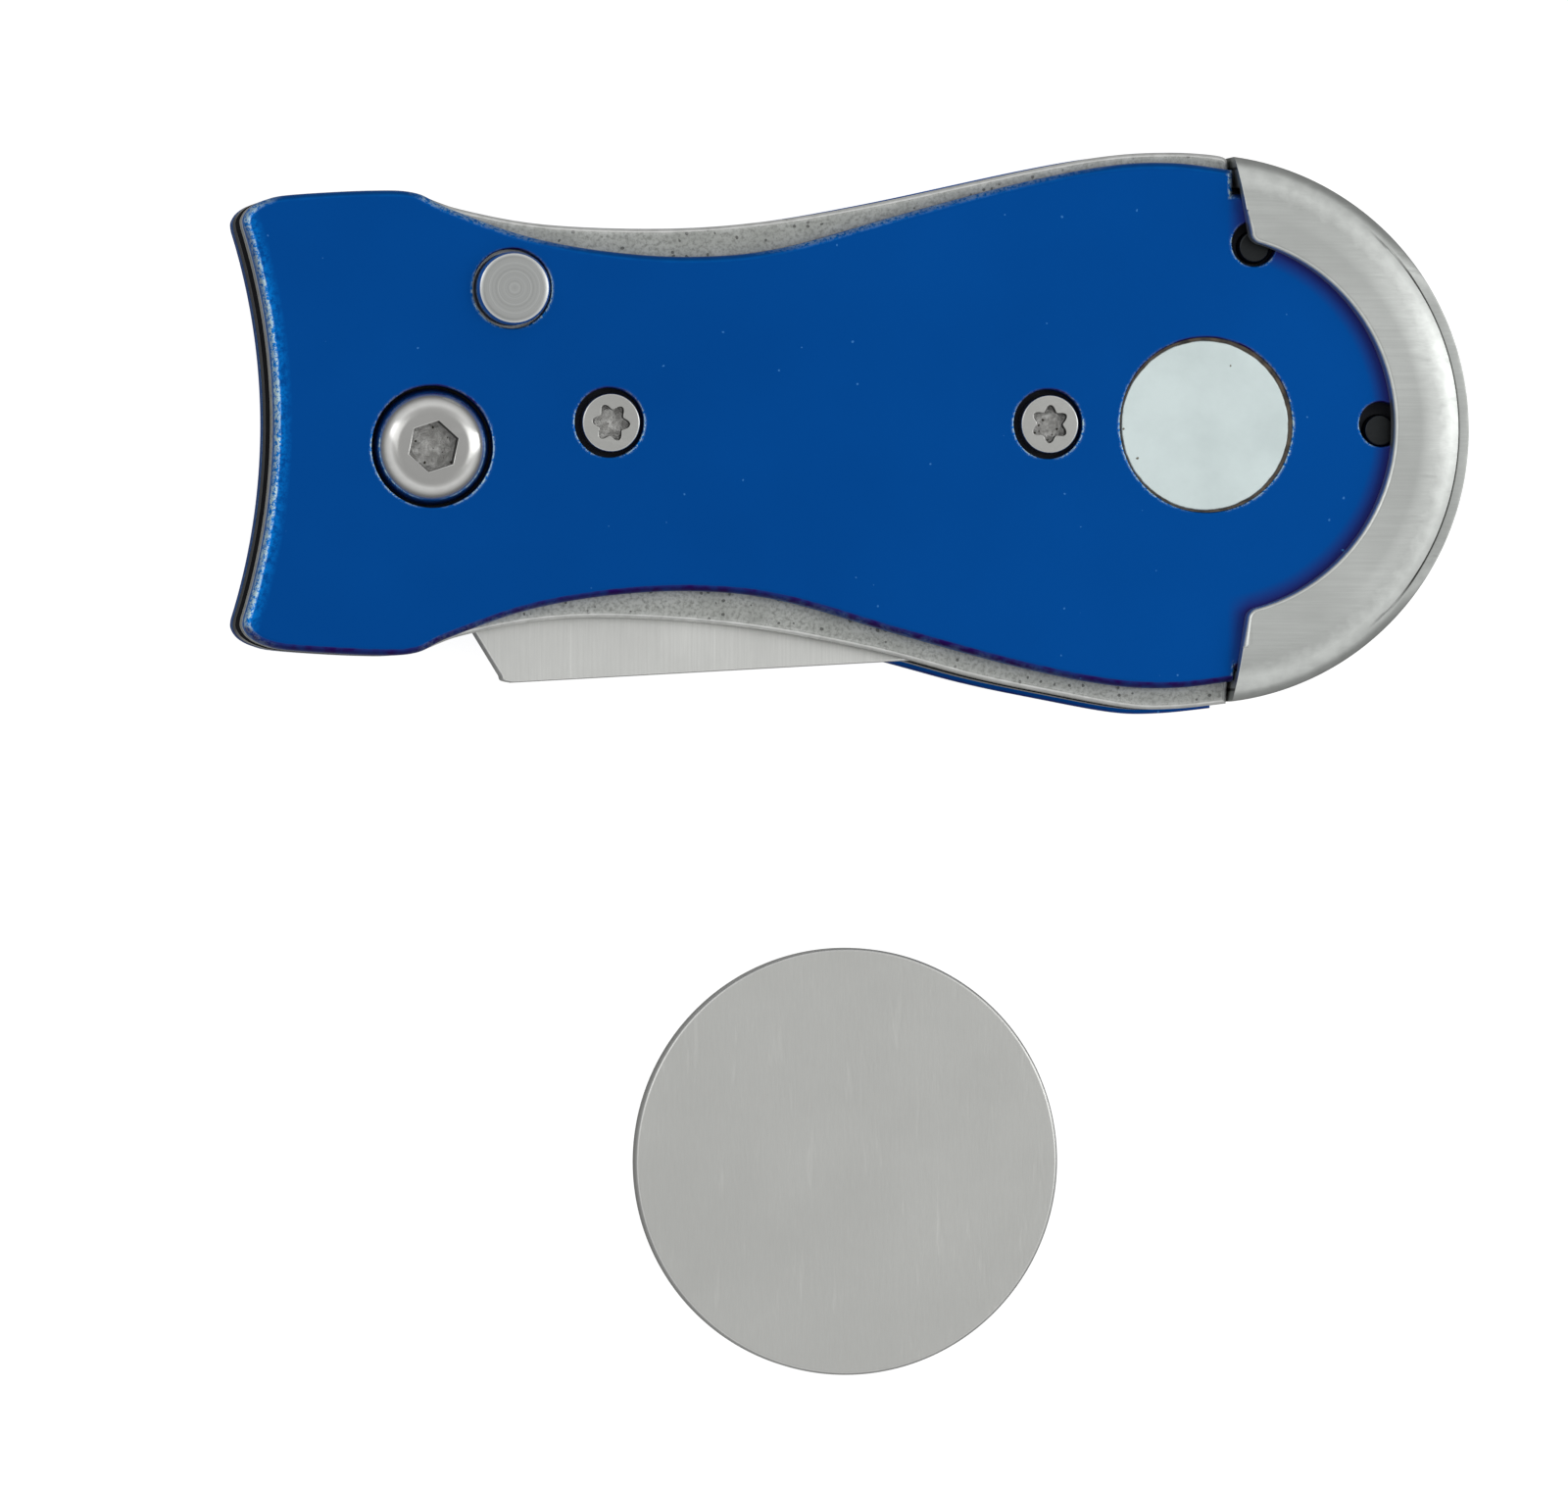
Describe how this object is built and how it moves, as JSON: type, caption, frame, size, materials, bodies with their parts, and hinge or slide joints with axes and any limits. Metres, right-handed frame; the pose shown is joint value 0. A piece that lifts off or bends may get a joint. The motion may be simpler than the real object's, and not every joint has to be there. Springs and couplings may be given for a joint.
{
  "type": "divot repair tool",
  "caption": "Folding spring-opened divot fork in a waisted handle with a round guarded magnet end, a release button and a loose disc ball marker.",
  "frame": {"origin": "on the back cover's flat face, under the middle of the handle", "axes": "+X to the round magnet end, +Y to the release button's side, +Z out of the front cover"},
  "size_m": [0.0717, 0.0715, 0.0094],
  "materials": {
    "cast_zinc": "die-cast zinc, fine pitted skin with lighter rubbed rims",
    "blue_anodised": "satin blue anodised, sparkly chamfer",
    "fork_steel": "stainless, grain across the blade",
    "polished_steel": "polished stainless",
    "bronze_washer": "plain bronze",
    "spring_steel": "drawn spring wire",
    "turned_steel": "turned, concentric rings",
    "screw_steel": "stainless, fine",
    "nickel_plate": "dull nickel plate with small pits",
    "guard_steel": "brushed, polished inner edge and shoulder",
    "blackened_steel": "blackened",
    "marker_steel": "very fine brushed, thin polished rim"
  },
  "bodies": {
    "handle": {"casting": "cast_zinc", "front_cover": "blue_anodised", "back_cover": "blue_anodised", "pivot_screw": "polished_steel", "pivot_nut": "polished_steel", "front_washer": "bronze_washer", "back_washer": "bronze_washer", "opening_spring": "spring_steel", "button_spring": "spring_steel", "front_screw_1": "screw_steel", "front_screw_2": "screw_steel", "back_screw_1": "screw_steel", "back_screw_2": "screw_steel", "magnet": "nickel_plate", "end_guard": "guard_steel", "guard_pin_1": "blackened_steel", "guard_pin_2": "blackened_steel"},
    "fork": {"fork": "fork_steel"},
    "button": {"release_button": "turned_steel"},
    "ball_marker": {"ball_marker": "marker_steel"}
  },
  "joints": [
    {"name": "fork_pivot", "type": "hinge", "parent": "handle", "child": "fork", "pos_m": [-0.02464, -0.00137, 0.00445], "axis": [0, 0, -1], "range_deg": [0, 175], "deforming": ["opening_spring"]},
    {"name": "button_press", "type": "slide", "parent": "handle", "child": "button", "axis": [0, 0, -1], "range_m": [0, 0.001], "stiffness_N_per_m": 600, "springref_m": -0.0008, "deforming": ["button_spring"]},
    {"name": "marker_turnover", "type": "hinge", "parent": "handle", "child": "ball_marker", "pos_m": [0.0082, -0.0215, 0.0049], "axis": [-0.9428, 0.3333, 0], "range_deg": [0, 180]}
  ]
}
